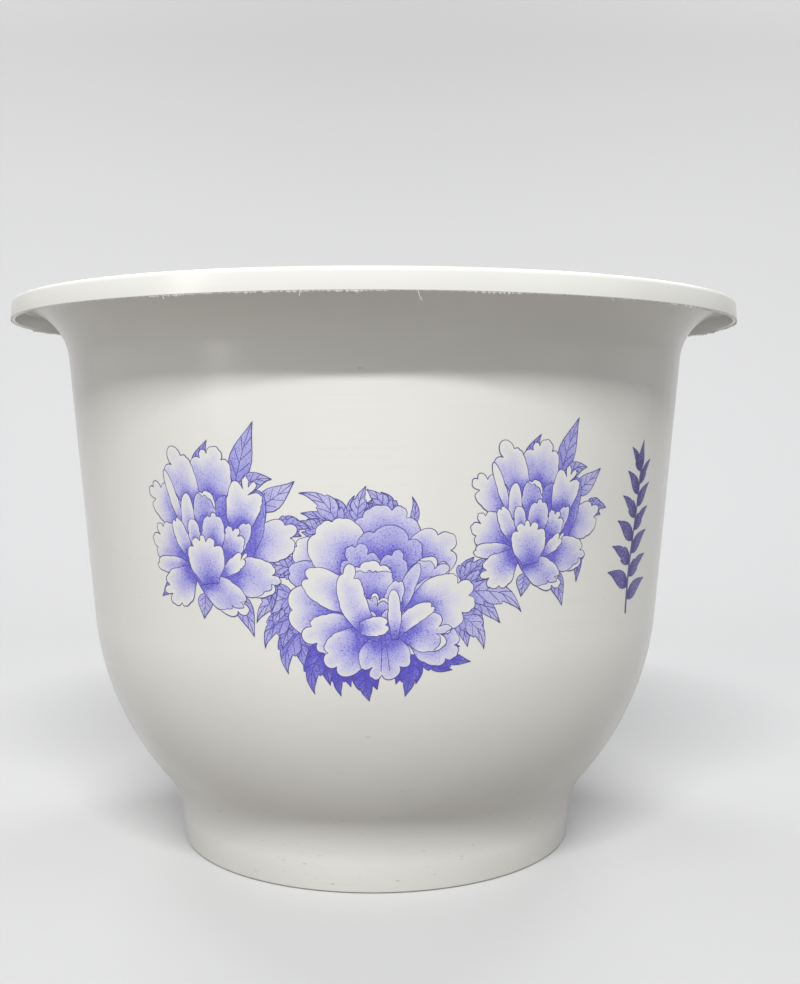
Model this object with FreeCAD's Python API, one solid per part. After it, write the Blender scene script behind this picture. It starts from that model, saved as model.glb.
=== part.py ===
"""Moulded flowerpot with a turned-down rim, a printed front, pull-out drain plugs and a lift-out drain grid.

The origin is the middle of the foot's resting plane. +Z is up and the printed front faces -Y.
The shell is one moulding, so its outside only grows outwards from the foot to the rim.
"""
import FreeCAD
import Part
import math
import os

from FreeCAD import Vector

# Driving sizes of the shell, in millimetres and degrees. Shares are of the lip's radius
HEIGHT = 283.0
WALL = 2.6
LIP_RADIUS = 190.0  # outside, at the lip's lower edge, which is the mould's parting line and stays sharp
LIP_DROP = 10.0
LIP_WALL = 2.2
LIP_DRAFT = 5.0  # the band leans out downwards, towards the parting line
RIM_ROUND = 2.4
NECK_SHARE = 0.852  # outside radius where the wall turns into the flare
WALL_TAPER = 4.9
BELLY_TOP = 122.0  # height where the straight wall meets the belly
WAIST_RADIUS = 45.0
FOOT_SHARE = 0.5526
FOOT_DRAFT = 5.4
FOOT_WALL = 3.0
FOOT_CHAMFER = 0.8

# Floor of the shell, above the hollow foot
FLOOR_HEIGHT = 14.0  # underside
FLOOR_WALL = 2.8
FLOOR_ROUND = 6.0
CROWN_RADIUS = 34.0  # the raised middle, which sheds water towards the drain holes
CROWN_RISE = 2.6
CROWN_RUN = 7.0
GATE_RADIUS = 3.2  # the trimmed stub where the plastic was let into the mould
GATE_DROP = 0.7
RIB_COUNT = 8
RIB_WALL = 1.8
RIB_DROP = 4.0

# Drain holes and their plugs
DRAIN_COUNT = 4
DRAIN_RADIUS = 8.0
DRAIN_CHAMFER = 0.8
COLLAR_WALL = 2.2
COLLAR_DROP = 5.0
PLUG_CLEARANCE = 0.06
PLUG_SEAT_GAP = 0.1
PLUG_HEAD_OVERHANG = 2.0
PLUG_HEAD_HEIGHT = 1.8
PLUG_NOSE = 1.0
PLUG_TAB_WIDTH = 8.0
PLUG_TAB_WALL = 2.2
PLUG_TAB_DROP = 3.2
PLUG_TAB_ROUND = 1.4

# Drain grid, which stands on the floor
GRID_STANDOFF = 18.0  # the floor's top to the plate's underside
GRID_WALL = 2.2
GRID_CLEARANCE = 2.5
GRID_SEAT_GAP = 0.2
GRID_EDGE_HEIGHT = 6.0
GRID_EDGE_WALL = 1.8
GRID_EDGE_CHAMFER = 0.8
GRID_LEG_WIDTH = 10.0
GRID_LEG_WALL = 2.0
GRID_LEG_INSET = 4.0  # flat floor left between a leg and the floor's rounded corner
GRID_HUB_RADIUS = 14.0
GRID_SLOT_WIDTH = 4.0
GRID_SLOT_GAP = 5.0  # plate left between two rings of slots
GRID_RING_COUNTS = (12, 18, 30)
GRID_FINGER_RADIUS = 11.0
GRID_FINGER_SHARE = 0.467  # how far out the finger holes are, of the plate's radius

# Print, thin transfers on the wall. Azimuths run to the right from the middle of the front
FILM = 0.3
FILM_GAP = 0.3  # keeps the transfer's round face off the wall's
FILM_LOBE_RISE_SHARE = 0.13  # how far a petal's edge bulges, of the bloom's radius
PRINT_HEIGHT = 172.0  # middle of the side blooms and the sprig
SPRAY_AZIMUTH = 28.3
SPRAY_SHARE = 0.19  # a side bloom's radius, of the lip's
SPRAY_LOBES = 9
BLOOM_DROP = 25.0  # how far the middle bloom hangs below the side ones
BLOOM_SHARE = 0.226
BLOOM_LOBES = 10
SPRIG_AZIMUTH = 52.0
SPRIG_SHARE = 0.185

# Leaves: the tip's direction in degrees, then the tip's distance and the leaf's width, of the bloom's radius
SPRAY_LEAF_SHARES = (
    (63, 1.49, 0.40),
    (86, 1.14, 0.30),
    (28, 1.19, 0.44),
    (-3, 1.16, 0.40),
    (-28, 1.10, 0.38),
    (-64, 1.26, 0.42),
    (-93, 1.06, 0.30),
    (221, 1.12, 0.34),
)
BLOOM_LEAF_SHARES = (
    (134, 1.14, 0.32),
    (118, 1.30, 0.40),
    (98, 1.18, 0.34),
    (66, 1.08, 0.26),
    (12, 1.24, 0.36),
    (-3, 1.52, 0.46),
    (-18, 1.28, 0.40),
    (-38, 1.24, 0.40),
    (-56, 1.10, 0.36),
    (-74, 1.08, 0.40),
    (-92, 1.06, 0.40),
    (-110, 1.09, 0.38),
    (-130, 1.18, 0.42),
    (-143, 1.26, 0.42),
    (-157, 1.24, 0.44),
    (-169, 1.30, 0.40),
)
SPRIG_LEAF_SHARES = (
    (86, 1.16, 0.40),
    (112, 0.98, 0.36),
    (60, 0.96, 0.36),
    (150, 0.60, 0.34),
    (26, 0.62, 0.34),
    (205, 0.58, 0.34),
    (-28, 0.60, 0.34),
    (248, 0.96, 0.36),
    (-84, 1.14, 0.38),
)
LEAF_ROOT_SHARE = 0.7
SPRIG_ROOT_SHARE = 0.0

OVERRUN = 1.0  # how far a cutting or filling solid runs past the face that it crosses

AXIS = Vector(0, 0, 1)
ORIGIN = Vector(0, 0, 0)


def lean(angle):
    """The outward normal, as (radius, height), of a wall that leans out by angle as it rises."""
    return math.cos(math.radians(angle)), -math.sin(math.radians(angle))


def towards(start, end):
    """The direction from one profile point to another, as (radius, height)."""
    size = math.dist(start, end)
    return (end[0] - start[0]) / size, (end[1] - start[1]) / size


def along(centre, normal, distance):
    """The point at distance from centre along normal, as (radius, height)."""
    return centre[0] + normal[0] * distance, centre[1] + normal[1] * distance


def meet(point, slope, centre, radius, first=False):
    """Where a line from point along slope crosses a circle, first or last, as (radius, height)."""
    across = (point[0] - centre[0], point[1] - centre[1])
    middle = -(across[0] * slope[0] + across[1] * slope[1])
    reach = radius**2 - across[0] ** 2 - across[1] ** 2 + middle**2
    return along(point, slope, middle + (-math.sqrt(reach) if first else math.sqrt(reach)))


def level(point, angle, height):
    """The point at height on the line through point that leans out by angle."""
    return point[0] + (height - point[1]) * math.tan(math.radians(angle)), height


def spot(place):
    """A profile point as a vector in the XZ plane."""
    return Vector(place[0], 0, place[1])


def line(start, end):
    return Part.LineSegment(spot(start), spot(end)).toShape()


def lines(outline):
    """The straight edges through the points of an open outline."""
    return [line(start, end) for start, end in zip(outline, outline[1:])]


def arc(centre, start, end):
    """The shorter arc about centre between two points."""
    middle = ((start[0] + end[0]) / 2, (start[1] + end[1]) / 2)
    through = along(centre, towards(centre, middle), math.dist(centre, start))
    return Part.Arc(spot(start), spot(through), spot(end)).toShape()


def revolve(edges):
    face = Part.Face(Part.Wire(Part.__sortEdges__(edges)))
    return face.revolve(ORIGIN, AXIS, 360)


def turned(shape, angle):
    """A copy of shape, turned about the pot's axis."""
    copy = shape.copy()
    copy.rotate(ORIGIN, AXIS, angle)
    return copy


def ring_of(shape, count, start=0.0):
    """Copies of shape spaced evenly about the pot's axis."""
    return [turned(shape, start + 360 * i / count) for i in range(count)]


# The outside wall's centres and joints, which the inside, the grid and the print follow.
# The flare levels out straight above the lip's edge, and the belly is part of a sphere.
WALL_NORMAL = lean(WALL_TAPER)
FOOT_NORMAL = lean(FOOT_DRAFT)
FOOT_SLOPE = (-FOOT_NORMAL[1], FOOT_NORMAL[0])
FOOT_RADIUS = LIP_RADIUS * FOOT_SHARE
FLARE_RADIUS = LIP_RADIUS * (1 - NECK_SHARE) / WALL_NORMAL[0]
FLARE_CENTRE = (LIP_RADIUS, HEIGHT - WALL - FLARE_RADIUS)
NECK = along(FLARE_CENTRE, WALL_NORMAL, -FLARE_RADIUS)
BELLY_START = level(NECK, WALL_TAPER, BELLY_TOP)
BELLY_RADIUS = BELLY_START[0] / WALL_NORMAL[0]
BELLY_CENTRE = along(BELLY_START, WALL_NORMAL, -BELLY_RADIUS)
WAIST_LINE = along((FOOT_RADIUS, 0), FOOT_NORMAL, WAIST_RADIUS)
WAIST_CENTRE = meet(WAIST_LINE, FOOT_SLOPE, BELLY_CENTRE, BELLY_RADIUS + WAIST_RADIUS, first=True)

# The floor's joints, which the ribs, the drains and the grid's legs follow
FLOOR_TOP = FLOOR_HEIGHT + FLOOR_WALL
CROWN_EDGE = CROWN_RADIUS + CROWN_RUN


def wall_joints(inset):
    """The wall's points from the foot to the neck, on the surface that lies inset inside the outside."""
    foot = along((FOOT_RADIUS, 0), FOOT_NORMAL, -inset)
    waist_start = along(WAIST_CENTRE, FOOT_NORMAL, -WAIST_RADIUS - inset)
    waist_end = along(BELLY_CENTRE, towards(BELLY_CENTRE, WAIST_CENTRE), BELLY_RADIUS - inset)
    belly_end = along(BELLY_CENTRE, WALL_NORMAL, BELLY_RADIUS - inset)
    neck = along(FLARE_CENTRE, WALL_NORMAL, -FLARE_RADIUS - inset)
    return foot, waist_start, waist_end, belly_end, neck


def wall_point(inset, height):
    """The point at a height below the belly's top, on the surface that lies inset inside the outside."""
    foot, waist_start, waist_end = wall_joints(inset)[:3]
    if height < waist_start[1]:
        return level(foot, FOOT_DRAFT, height)
    if height < waist_end[1]:
        reach = WAIST_RADIUS + inset
        return WAIST_CENTRE[0] - math.sqrt(reach**2 - (height - WAIST_CENTRE[1]) ** 2), height
    reach = BELLY_RADIUS - inset
    return BELLY_CENTRE[0] + math.sqrt(reach**2 - (height - BELLY_CENTRE[1]) ** 2), height


def wall_normal(inset, height):
    """The wall's outward normal at a height below the belly's top."""
    waist_start, waist_end = wall_joints(inset)[1:3]
    if height < waist_start[1]:
        return FOOT_NORMAL
    if height < waist_end[1]:
        return towards(wall_point(inset, height), WAIST_CENTRE)
    return towards(BELLY_CENTRE, wall_point(inset, height))


def wall_edges(inset, height):
    """The wall from a height below the belly's top up to the neck, inset inside the outside."""
    waist_start, waist_end, belly_end, neck = wall_joints(inset)[1:]
    start = wall_point(inset, height)
    edges = []
    if height < waist_start[1]:
        edges.append(line(start, waist_start))
        start = waist_start
    if height < waist_end[1]:
        edges.append(arc(WAIST_CENTRE, start, waist_end))
        start = waist_end
    edges.append(arc(BELLY_CENTRE, start, belly_end))
    edges.append(line(belly_end, neck))
    return edges


def floor_corner():
    """The middle of the round between the floor's top and the wall, and the round's end on the wall."""
    inset = WALL + FLOOR_ROUND
    middle = wall_point(inset, FLOOR_TOP + FLOOR_ROUND)
    return middle, along(middle, wall_normal(inset, middle[1]), FLOOR_ROUND)


def pot_shell():
    """The moulding: flare, lip, wall, belly, waist, foot and floor, with its ribs and drain collars."""
    corner, corner_end = floor_corner()
    outline = [
        (corner[0], FLOOR_TOP),
        (CROWN_EDGE, FLOOR_TOP),
        (CROWN_RADIUS, FLOOR_TOP + CROWN_RISE),
        (0, FLOOR_TOP + CROWN_RISE),
        (0, FLOOR_HEIGHT + CROWN_RISE),
        (CROWN_RADIUS - FLOOR_WALL / 2, FLOOR_HEIGHT + CROWN_RISE),
        (CROWN_EDGE - FLOOR_WALL / 2, FLOOR_HEIGHT),
        wall_point(FOOT_WALL, FLOOR_HEIGHT),
        wall_point(FOOT_WALL, 0),
        (wall_point(0, 0)[0] - FOOT_CHAMFER, 0),
        wall_point(0, FOOT_CHAMFER),
    ]
    edges = wall_edges(0, FOOT_CHAMFER) + rim_edges() + wall_edges(WALL, corner_end[1])
    edges.append(arc(corner, corner_end, outline[0]))
    shell = revolve(edges + lines(outline))
    shell = shell.fuse(floor_ribs() + drain_collars() + [gate_stub()])
    return shell.cut(drain_bores()).removeSplitter()


def rim_edges():
    """The flare and the lip, from the outside's neck round the lip's edge to the inside's neck."""
    lip_normal = lean(-LIP_DRAFT)
    lip_slope = (-lip_normal[1], lip_normal[0])
    lip_outside = (LIP_RADIUS, HEIGHT - LIP_DROP)
    lip_inside = (LIP_RADIUS - LIP_WALL, HEIGHT - LIP_DROP)
    lip_root = meet(lip_inside, lip_slope, FLARE_CENTRE, FLARE_RADIUS)
    round_line = along(lip_outside, lip_normal, -RIM_ROUND)
    rim = meet(round_line, lip_slope, FLARE_CENTRE, FLARE_RADIUS + WALL - RIM_ROUND)
    band_top = along(rim, lip_normal, RIM_ROUND)
    flare_end = along(rim, towards(FLARE_CENTRE, rim), RIM_ROUND)
    return [
        arc(FLARE_CENTRE, wall_joints(0)[-1], lip_root),
        line(lip_root, lip_inside),
        line(lip_inside, lip_outside),
        line(lip_outside, band_top),
        arc(rim, band_top, flare_end),
        arc(FLARE_CENTRE, flare_end, wall_joints(WALL)[-1]),
    ]


def floor_ribs():
    """Radial ribs that stiffen the floor from below, and the ring that joins their inner ends."""
    low = FLOOR_HEIGHT - RIB_DROP
    reach = wall_point(FOOT_WALL / 2, low)[0] - CROWN_EDGE
    height = RIB_DROP + FLOOR_WALL / 2
    rib = Part.makeBox(reach, RIB_WALL, height, Vector(CROWN_EDGE, -RIB_WALL / 2, low))
    base = Vector(0, 0, low)
    ring = Part.makeCylinder(CROWN_EDGE + RIB_WALL, height, base)
    ring = ring.cut(Part.makeCylinder(CROWN_EDGE, height, base))
    return ring_of(rib, RIB_COUNT, 180 / RIB_COUNT) + [ring]


def drain_circle():
    """How far out the drains are: midway across the flat part of the floor."""
    return (CROWN_EDGE + floor_corner()[0][0]) / 2


def drain_collars():
    """Short tubes round the drain holes, under the floor, which grip the plugs."""
    base = Vector(drain_circle(), 0, FLOOR_HEIGHT - COLLAR_DROP)
    collar = Part.makeCylinder(DRAIN_RADIUS + COLLAR_WALL, COLLAR_DROP + FLOOR_WALL / 2, base)
    return ring_of(collar, DRAIN_COUNT)


def drain_bores():
    """What the drain holes take away, with a chamfer at the floor's top."""
    low = FLOOR_HEIGHT - COLLAR_DROP - OVERRUN
    circle = drain_circle()
    bore = Part.makeCylinder(DRAIN_RADIUS, FLOOR_TOP + OVERRUN - low, Vector(circle, 0, low))
    mouth_base = Vector(circle, 0, FLOOR_TOP - DRAIN_CHAMFER)
    mouth = Part.makeCone(DRAIN_RADIUS, DRAIN_RADIUS + DRAIN_CHAMFER, DRAIN_CHAMFER, mouth_base)
    return ring_of(bore.fuse(mouth), DRAIN_COUNT)


def gate_stub():
    """The trimmed gate in the middle of the floor's underside."""
    base = Vector(0, 0, FLOOR_HEIGHT + CROWN_RISE - GATE_DROP)
    return Part.makeCylinder(GATE_RADIUS, GATE_DROP + FLOOR_WALL / 2, base)


def drain_plug():
    """A rubber plug in the drain hole on +X: a tapered-nose shank, a head under the collar and a pull tab."""
    shank = DRAIN_RADIUS - PLUG_CLEARANCE
    head = DRAIN_RADIUS + PLUG_HEAD_OVERHANG
    head_top = FLOOR_HEIGHT - COLLAR_DROP - PLUG_SEAT_GAP
    head_low = head_top - PLUG_HEAD_HEIGHT
    top = FLOOR_TOP - DRAIN_CHAMFER
    outline = [
        (0, head_low),
        (head, head_low),
        (head, head_top),
        (shank, head_top),
        (shank, top - PLUG_NOSE),
        (shank - PLUG_NOSE, top),
        (0, top),
        (0, head_low),
    ]
    plug = revolve(lines(outline)).fuse(plug_tab(head_low)).removeSplitter()
    plug.translate(Vector(drain_circle(), 0, 0))
    return plug


def plug_tab(head_low):
    """The tab that two fingers pull, below the head, with its lower corners rounded."""
    half = PLUG_TAB_WIDTH / 2
    base = head_low - PLUG_TAB_DROP
    top = head_low + PLUG_HEAD_HEIGHT / 2
    bend = PLUG_TAB_ROUND * (1 - math.sqrt(1 / 2))
    left = [Vector(0, -half, base + PLUG_TAB_ROUND), Vector(0, bend - half, base + bend)]
    left.append(Vector(0, PLUG_TAB_ROUND - half, base))
    right = [Vector(0, -point.y, point.z) for point in reversed(left)]
    corners = [Vector(0, half, top), Vector(0, -half, top)]
    edges = [Part.Arc(*left).toShape(), Part.Arc(*right).toShape()]
    for start, end in ((left[2], right[0]), (right[2], corners[0]), corners, (corners[1], left[0])):
        edges.append(Part.LineSegment(start, end).toShape())
    tab = Part.Face(Part.Wire(Part.__sortEdges__(edges))).extrude(Vector(PLUG_TAB_WALL, 0, 0))
    tab.translate(Vector(-PLUG_TAB_WALL / 2, 0, 0))
    return tab


def drain_grid():
    """The loose false floor: a slotted plate with a turned-down edge, legs and two finger holes."""
    low = FLOOR_TOP + GRID_STANDOFF
    top = low + GRID_WALL
    edge_low = top - GRID_EDGE_HEIGHT
    radius = wall_point(WALL, edge_low)[0] - GRID_CLEARANCE
    outline = [
        (0, low),
        (radius - GRID_EDGE_WALL, low),
        (radius - GRID_EDGE_WALL, edge_low),
        (radius, edge_low),
        (radius, top - GRID_EDGE_CHAMFER),
        (radius - GRID_EDGE_CHAMFER, top),
        (0, top),
        (0, low),
    ]
    plate = revolve(lines(outline)).fuse(ring_of(grid_leg(low), RIB_COUNT, 180 / RIB_COUNT))
    return plate.cut(grid_slots(low, radius)).removeSplitter()


def leg_circle():
    """How far out the grid's legs are, just inside the floor's rounded corner."""
    return floor_corner()[0][0] - GRID_LEG_INSET - GRID_LEG_WIDTH / 2


def grid_leg(low):
    """One leg on +X with a cross section like a plus sign. Each leg stands above one of the floor's ribs."""
    foot = FLOOR_TOP + GRID_SEAT_GAP
    height = low + GRID_WALL / 2 - foot
    circle = leg_circle()
    half = GRID_LEG_WIDTH / 2
    wall = GRID_LEG_WALL / 2
    spoke = Part.makeBox(GRID_LEG_WIDTH, GRID_LEG_WALL, height, Vector(circle - half, -wall, foot))
    cross = Part.makeBox(GRID_LEG_WALL, GRID_LEG_WIDTH, height, Vector(circle - wall, -half, foot))
    return spoke.fuse(cross)


def grid_slots(low, radius):
    """What the slots and finger holes take away. A slot too near a leg or a finger hole is left out."""
    height = GRID_WALL + OVERRUN * 2
    base = low - OVERRUN
    circle = radius * GRID_FINGER_SHARE
    finger = Part.makeCylinder(GRID_FINGER_RADIUS, height, Vector(circle, 0, base))
    keep_out = [(180 * i, circle, GRID_FINGER_RADIUS) for i in range(2)]
    for i in range(RIB_COUNT):
        keep_out.append((360 * (i + 1 / 2) / RIB_COUNT, leg_circle(), GRID_LEG_WIDTH / 2))
    span = (radius - GRID_EDGE_WALL - GRID_HUB_RADIUS) / len(GRID_RING_COUNTS)
    slots = ring_of(finger, 2)
    for ring, count in enumerate(GRID_RING_COUNTS):
        start = GRID_HUB_RADIUS + span * ring + GRID_SLOT_GAP / 2
        end = start + span - GRID_SLOT_GAP
        corner = Vector(start, -GRID_SLOT_WIDTH / 2, base)
        slot = Part.makeBox(end - start, GRID_SLOT_WIDTH, height, corner)
        for i in range(count):
            angle = 360 * (i + 1 / 2) / count
            if is_slot_free(angle, start, end, keep_out):
                slots.append(turned(slot, angle))
    return slots


def is_slot_free(angle, start, end, keep_out):
    """True where a slot keeps its distance from every place listed as turn, circle and radius."""
    keep = GRID_SLOT_GAP / 2 + GRID_SLOT_WIDTH / 2
    for turn, circle, radius in keep_out:
        apart = math.radians(angle - turn)
        ahead = circle * math.cos(apart)
        nearest = max(start, min(end, ahead))
        if math.hypot(ahead - nearest, circle * math.sin(apart)) < radius + keep:
            return False
    return True


def coat():
    """A skin over the whole wall, as thick as the transfer, from the foot to the neck."""
    inner = -FILM_GAP
    outer = inner - FILM
    top = line(wall_joints(outer)[-1], wall_joints(inner)[-1])
    bottom = line(wall_point(outer, 0), wall_point(inner, 0))
    return revolve(wall_edges(outer, 0) + wall_edges(inner, 0) + [top, bottom])


def lobed_prism(radius, lobes):
    """A bloom's outline, one arc to a petal, as a prism through the front wall."""
    rim = radius * (1 - FILM_LOBE_RISE_SHARE)
    corners = [petal_point(rim, 360 * i / lobes) for i in range(lobes)]
    crests = [petal_point(radius, 360 * (i + 1 / 2) / lobes) for i in range(lobes)]
    edges = []
    for i in range(lobes):
        edges.append(Part.Arc(corners[i], crests[i], corners[(i + 1) % lobes]).toShape())
    return prism(edges)


def petal_point(radius, angle):
    """A point in front of the pot, at a distance and a direction from a bloom's middle."""
    turn = math.radians(angle)
    return Vector(radius * math.cos(turn), -LIP_RADIUS, radius * math.sin(turn))


def leaf_prism(radius, leaf, root_share):
    """A pointed leaf of two arcs, as a prism through the front wall."""
    angle, reach, width = leaf
    turn = math.radians(angle)
    side = Vector(-math.sin(turn), 0, math.cos(turn)) * (radius * width / 2)
    root = petal_point(radius * root_share, angle)
    tip = petal_point(radius * reach, angle)
    middle = (root + tip) * (1 / 2)
    return prism([
        Part.Arc(root, middle + side, tip).toShape(),
        Part.Arc(tip, middle - side, root).toShape(),
    ])


def prism(edges):
    """A closed outline in front of the pot, drawn back through the front wall."""
    return Part.Face(Part.Wire(edges)).extrude(Vector(0, LIP_RADIUS - FOOT_RADIUS, 0))


def transfer(skin, azimuth, height, prisms):
    """The stretch of skin that the prisms cover, centred at azimuth and height."""
    outline = prisms[0].fuse(prisms[1:])
    outline.translate(Vector(0, 0, height))
    return skin.common(turned(outline, azimuth)).removeSplitter()


def flower_prisms(radius, lobes, leaves):
    return [lobed_prism(radius, lobes)] + [leaf_prism(radius, leaf, LEAF_ROOT_SHARE) for leaf in leaves]


def prints():
    """The transfers on the front, by node name. The side blooms lie over the middle one."""
    skin = coat()
    spray = flower_prisms(LIP_RADIUS * SPRAY_SHARE, SPRAY_LOBES, SPRAY_LEAF_SHARES)
    bloom = flower_prisms(LIP_RADIUS * BLOOM_SHARE, BLOOM_LOBES, BLOOM_LEAF_SHARES)
    sprig = [leaf_prism(LIP_RADIUS * SPRIG_SHARE, leaf, SPRIG_ROOT_SHARE) for leaf in SPRIG_LEAF_SHARES]
    left = transfer(skin, -SPRAY_AZIMUTH, PRINT_HEIGHT, spray)
    right = transfer(skin, SPRAY_AZIMUTH, PRINT_HEIGHT, spray)
    middle = transfer(skin, 0, PRINT_HEIGHT - BLOOM_DROP, bloom).cut([left, right])
    return {
        "print_left_peony": left,
        "print_middle_peony": middle,
        "print_right_peony": right,
        "print_sprig": transfer(skin, SPRIG_AZIMUTH, PRINT_HEIGHT, sprig),
    }


def build():
    """Every piece of the flowerpot, by node name."""
    nodes = {"pot_shell": pot_shell(), "drain_grid": drain_grid()}
    for i, plug in enumerate(ring_of(drain_plug(), DRAIN_COUNT)):
        nodes["drain_plug_%d" % (i + 1)] = plug
    nodes.update(prints())
    return nodes


os.makedirs("parts", exist_ok=True)
for name, shape in build().items():
    solids = shape.Solids
    print(name, len(solids), "solid", shape.isValid(), "volume", round(shape.Volume, 1))
    (solids[0] if len(solids) == 1 else shape).exportStep("parts/%s.step" % name)
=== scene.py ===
"""The looks of a moulded flowerpot with a printed front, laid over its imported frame. Sizes are in millimetres."""
import bpy
import math
import random

import numpy as np
from mathutils import Matrix, Vector
from mathutils.geometry import delaunay_2d_cdt


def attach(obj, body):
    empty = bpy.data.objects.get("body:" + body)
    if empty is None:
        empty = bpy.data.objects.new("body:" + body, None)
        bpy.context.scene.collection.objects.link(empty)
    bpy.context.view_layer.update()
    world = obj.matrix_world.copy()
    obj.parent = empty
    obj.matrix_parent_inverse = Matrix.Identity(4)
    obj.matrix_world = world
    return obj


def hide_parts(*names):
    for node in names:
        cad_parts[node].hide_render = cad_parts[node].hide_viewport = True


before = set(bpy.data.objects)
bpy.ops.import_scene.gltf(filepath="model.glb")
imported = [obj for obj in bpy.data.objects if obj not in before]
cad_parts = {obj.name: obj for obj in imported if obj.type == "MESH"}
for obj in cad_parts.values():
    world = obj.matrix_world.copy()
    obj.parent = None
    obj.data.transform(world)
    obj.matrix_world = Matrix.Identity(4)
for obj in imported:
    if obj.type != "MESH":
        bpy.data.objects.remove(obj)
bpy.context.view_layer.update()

# ---- Pot shell ----
# One injection moulding in white polypropylene: a turned wall with a flared, turned-down rim, a belly,
# a waist and a hollow foot. The floor has a raised middle, ribs and four drain collars on its underside,
# and the trimmed gate where the plastic went in.
MM = 0.001
HEIGHT = 283.0
WALL = 2.6
LIP_RADIUS = 190.0
LIP_DROP = 10.0
LIP_WALL = 2.2
LIP_DRAFT = 5.0
RIM_ROUND = 2.4
NECK_SHARE = 0.852
WALL_TAPER = 4.9
BELLY_TOP = 122.0
WAIST_RADIUS = 45.0
FOOT_SHARE = 0.5526
FOOT_DRAFT = 5.4
FOOT_WALL = 3.0
FLOOR_HEIGHT = 14.0
FLOOR_WALL = 2.8
FLOOR_ROUND = 6.0
CROWN_RADIUS = 34.0
CROWN_RISE = 2.6
CROWN_RUN = 7.0
GATE_RADIUS = 3.2
GATE_DROP = 0.7
RIB_COUNT = 8
RIB_WALL = 1.8
RIB_DROP = 4.0
DRAIN_COUNT = 4
DRAIN_CIRCLE = 70.04
DRAIN_RADIUS = 8.0
DRAIN_CHAMFER = 0.8
COLLAR_WALL = 2.2
COLLAR_DROP = 5.0
LIP_ROUNDS = (0.5, 0.3, 0.35)  # inside at the flare, then the inside and the outside of the lower edge
CROWN_ROUND = 4.0
FOOT_ROUNDS = (0.9, 0.6, 1.0)  # the outside and the inside of the foot's edge, then the hollow's corner
RING_ROUNDS = (0.4, 0.3, 0.3, 0.4)  # round the ring rib, from the floor outside it to the floor inside it
GATE_ROUNDS = (0.15, 0.2, 0)
WAIST_STEP, BELLY_STEP, FLARE_STEP, RIM_STEP, ROUND_STEP = 2, 1.6, 2.6, 10, 22  # degrees between points on arcs
TURN_SEGMENTS = 384
BORE_SEGMENTS = 64
SHARP_FOLD = 35  # degrees between two faces, above which the edge between them is kept crisp
SHELL_WHITE = "#e4e5e2"
SHELL_CLOUD = "#dfe0de"
SHELL_SCUFF = "#a8a298"
PLASTIC_IOR = 1.49
SHEEN = (0.17, 0.27)  # roughness, where the skin is smoothest and where it is dullest
SHEEN_SIZE = 26
PEEL_SIZE = 2.4
PEEL_DEPTH = 0.4
CLOUD_SIZE = 70
STREAK_SIZE = (60, 1.6)  # across and up
SCUFF_SIZE = (5.0, 1.1)
SCUFF_TOP = (40, 70)  # heights between which the scuffs grow rare


def lean(angle):
    """The outward normal, as (radius, height), of a wall that leans out by angle as it rises."""
    return math.cos(math.radians(angle)), -math.sin(math.radians(angle))


def towards(start, end):
    size = math.dist(start, end)
    return (end[0] - start[0]) / size, (end[1] - start[1]) / size


def along(start, way, distance):
    return start[0] + way[0] * distance, start[1] + way[1] * distance


def meet(point, slope, centre, radius, first=False):
    """Where a line from point along slope crosses a circle, first or last."""
    across = (point[0] - centre[0], point[1] - centre[1])
    middle = -(across[0] * slope[0] + across[1] * slope[1])
    reach = math.sqrt(radius**2 - across[0] ** 2 - across[1] ** 2 + middle**2)
    return along(point, slope, middle + (-reach if first else reach))


def level(point, angle, height):
    return point[0] + (height - point[1]) * math.tan(math.radians(angle)), height


def bow(centre, start, end, step):
    """Points along the shorter arc about centre, about a step of degrees apart, ends included."""
    first = math.atan2(start[1] - centre[1], start[0] - centre[0])
    turn = math.atan2(end[1] - centre[1], end[0] - centre[0]) - first
    turn = (turn + math.pi) % math.tau - math.pi
    count = max(1, round(abs(math.degrees(turn)) / step))
    radius = math.dist(centre, start)
    angles = [first + turn * i / count for i in range(count + 1)]
    return [(centre[0] + radius * math.cos(a), centre[1] + radius * math.sin(a)) for a in angles]


def eased(outline):
    """The outline, given as points and the corners' round radii, with an arc in place of each round corner."""
    points = []
    for i, (place, radius) in enumerate(outline):
        if not radius:
            points.append(place)
            continue
        back = towards(place, outline[i - 1][0])
        on = towards(place, outline[i + 1][0])
        half = math.acos(back[0] * on[0] + back[1] * on[1]) / 2
        middle = along(place, towards((0, 0), (back[0] + on[0], back[1] + on[1])), radius / math.sin(half))
        reach = radius / math.tan(half)
        points += bow(middle, along(place, back, reach), along(place, on, reach), ROUND_STEP)
    return points


WALL_NORMAL = lean(WALL_TAPER)
FOOT_NORMAL = lean(FOOT_DRAFT)
FLARE_RADIUS = LIP_RADIUS * (1 - NECK_SHARE) / WALL_NORMAL[0]
FLARE_CENTRE = (LIP_RADIUS, HEIGHT - WALL - FLARE_RADIUS)
NECK = along(FLARE_CENTRE, WALL_NORMAL, -FLARE_RADIUS)
BELLY_START = level(NECK, WALL_TAPER, BELLY_TOP)
BELLY_RADIUS = BELLY_START[0] / WALL_NORMAL[0]
BELLY_CENTRE = along(BELLY_START, WALL_NORMAL, -BELLY_RADIUS)
FOOT_RADIUS = LIP_RADIUS * FOOT_SHARE
WAIST_LINE = along((FOOT_RADIUS, 0), FOOT_NORMAL, WAIST_RADIUS)
FOOT_SLOPE = (-FOOT_NORMAL[1], FOOT_NORMAL[0])
WAIST_CENTRE = meet(WAIST_LINE, FOOT_SLOPE, BELLY_CENTRE, BELLY_RADIUS + WAIST_RADIUS, first=True)
FLOOR_TOP = FLOOR_HEIGHT + FLOOR_WALL
CROWN_EDGE = CROWN_RADIUS + CROWN_RUN


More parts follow.
